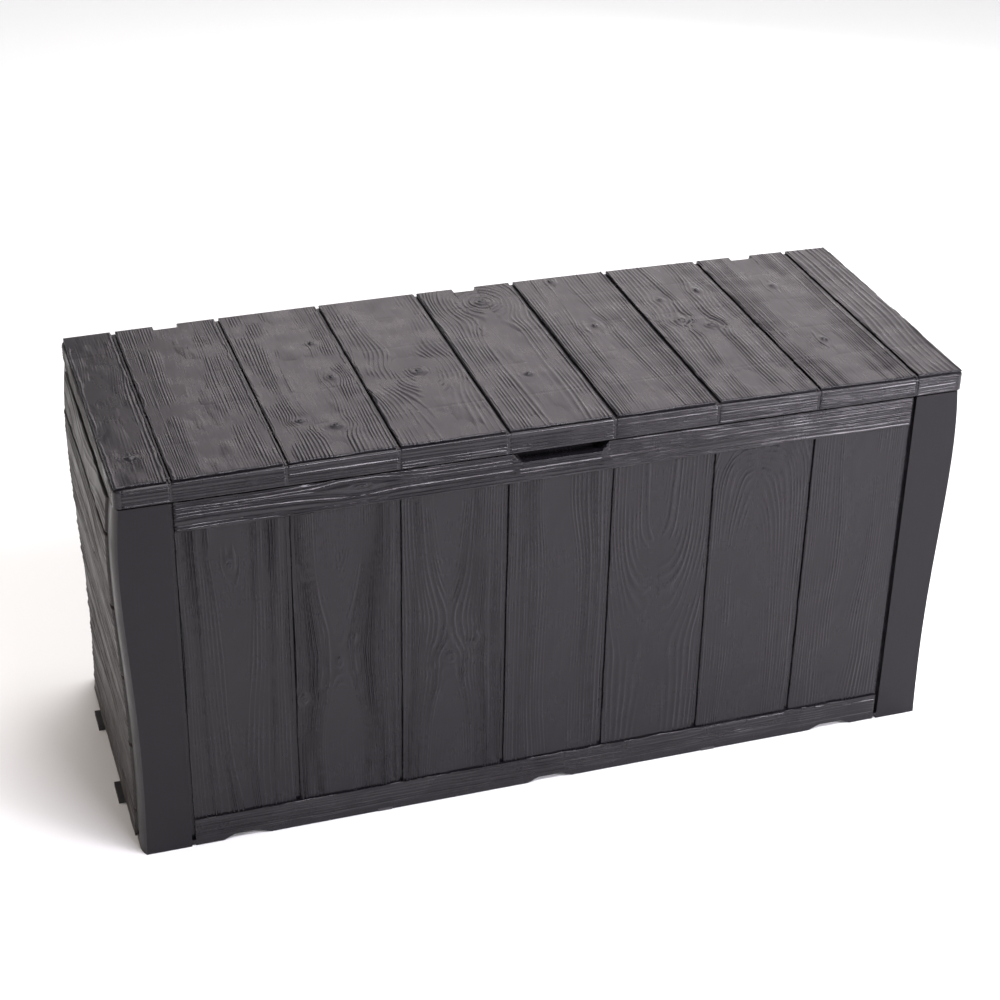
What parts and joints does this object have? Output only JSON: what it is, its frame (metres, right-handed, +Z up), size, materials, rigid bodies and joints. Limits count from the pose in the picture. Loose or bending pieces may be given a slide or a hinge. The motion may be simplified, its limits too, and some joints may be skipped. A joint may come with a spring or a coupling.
{
  "type": "deck storage box",
  "caption": "Rectangular resin storage chest with imitation-board walls, corner posts, a finger pocket and a lid hinged at the back.",
  "frame": {"origin": "centre of the footprint, on the ground under the box", "axes": "+X along the box to the right as seen from the front, +Y to the back (the hinge side), +Z up"},
  "size_m": [1.174, 0.436, 0.567],
  "materials": {
    "lid_resin": "satin moulded resin with raised wood grain",
    "wall_resin": "satin moulded resin with raised wood grain",
    "post_resin": "smooth satin moulded resin",
    "floor_resin": "plain moulded resin",
    "hinge_resin": "plain dense resin",
    "steel": "zinc plated"
  },
  "bodies": {
    "box": {"front_panel": "wall_resin", "rear_panel": "wall_resin", "left_side_panel": "wall_resin", "right_side_panel": "wall_resin", "front_left_post": "post_resin", "front_right_post": "post_resin", "rear_left_post": "post_resin", "rear_right_post": "post_resin", "floor_panel": "floor_resin", "hinge_base_left": "hinge_resin", "hinge_base_centre": "hinge_resin", "hinge_base_right": "hinge_resin", "hinge_base_screws": "steel"},
    "lid": {"lid": "lid_resin", "hinge_arm_left": "hinge_resin", "hinge_arm_centre": "hinge_resin", "hinge_arm_right": "hinge_resin", "hinge_pin_left": "steel", "hinge_pin_centre": "steel", "hinge_pin_right": "steel", "hinge_arm_screws": "steel"}
  },
  "joints": [
    {"name": "lid_hinge", "type": "hinge", "parent": "box", "child": "lid", "pos_m": [0, 0.21, 0.551], "axis": [-1, 0, 0], "range_deg": [0, 100]}
  ]
}
